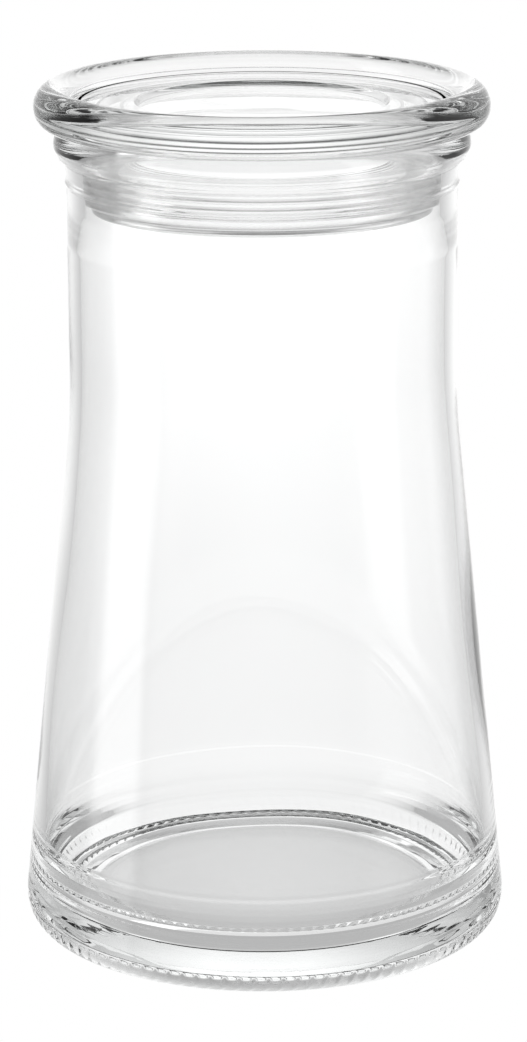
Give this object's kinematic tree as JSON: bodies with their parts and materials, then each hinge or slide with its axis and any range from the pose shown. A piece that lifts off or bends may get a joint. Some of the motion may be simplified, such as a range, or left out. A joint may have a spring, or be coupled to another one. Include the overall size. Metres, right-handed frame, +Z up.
{
  "type": "apothecary jar",
  "caption": "Flared clear glass storage jar with a wide mouth, closed by a flat dished glass lid whose hollow plug carries a finned seal ring.",
  "frame": {"origin": "centre of the standing ring, on the surface the jar stands on", "axes": "+Z up along the jar's axis of revolution; X and Y are equivalent, and the jar is seen from -Y"},
  "size_m": [0.1436, 0.1436, 0.2504],
  "materials": {
    "jar_glass": "clear fire-polished",
    "lid_glass": "clear pressed",
    "seal_silicone": "translucent satin"
  },
  "bodies": {
    "jar": {"jar": "jar_glass"},
    "seal_ring": {"seal_ring": "seal_silicone"},
    "lid": {"lid": "lid_glass"}
  },
  "joints": [
    {"name": "lid_lift", "type": "slide", "parent": "jar", "child": "seal_ring", "axis": [0, 0, 1], "range_m": [0, 0.08]},
    {"name": "lid_turn", "type": "hinge", "parent": "seal_ring", "child": "lid", "pos_m": [0, 0, 0.2245], "axis": [0, 0, 1], "continuous": true}
  ]
}
